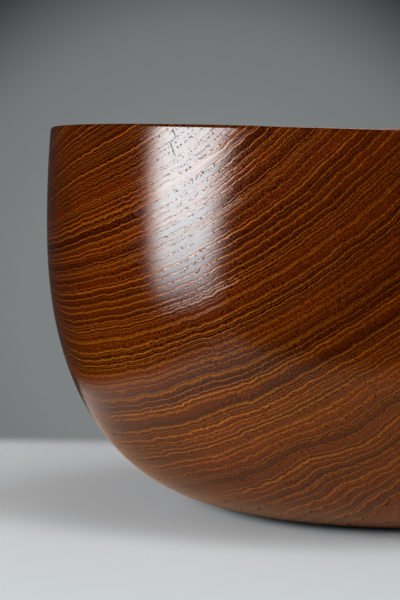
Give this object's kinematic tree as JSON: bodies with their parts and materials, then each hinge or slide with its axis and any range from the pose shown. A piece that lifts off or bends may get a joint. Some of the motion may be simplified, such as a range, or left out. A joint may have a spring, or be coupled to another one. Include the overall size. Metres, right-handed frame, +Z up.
{
  "type": "wooden bowl",
  "caption": "Deep round bowl turned from solid dark teak, with a full bilge, a nearly upright wall, a thin rounded lip and a recessed foot. For serving salad or fruit.",
  "frame": {"origin": "centre of the base, on the surface that the bowl stands on", "axes": "+Z up along the axis that the bowl was turned about; the log's axis lies level, halfway between +X and +Y"},
  "size_m": [0.28, 0.28, 0.154],
  "materials": {
    "teak": "turned, sanded and finished with a clear satin oil"
  },
  "bodies": {
    "root": {"bowl": "teak"}
  },
  "joints": []
}
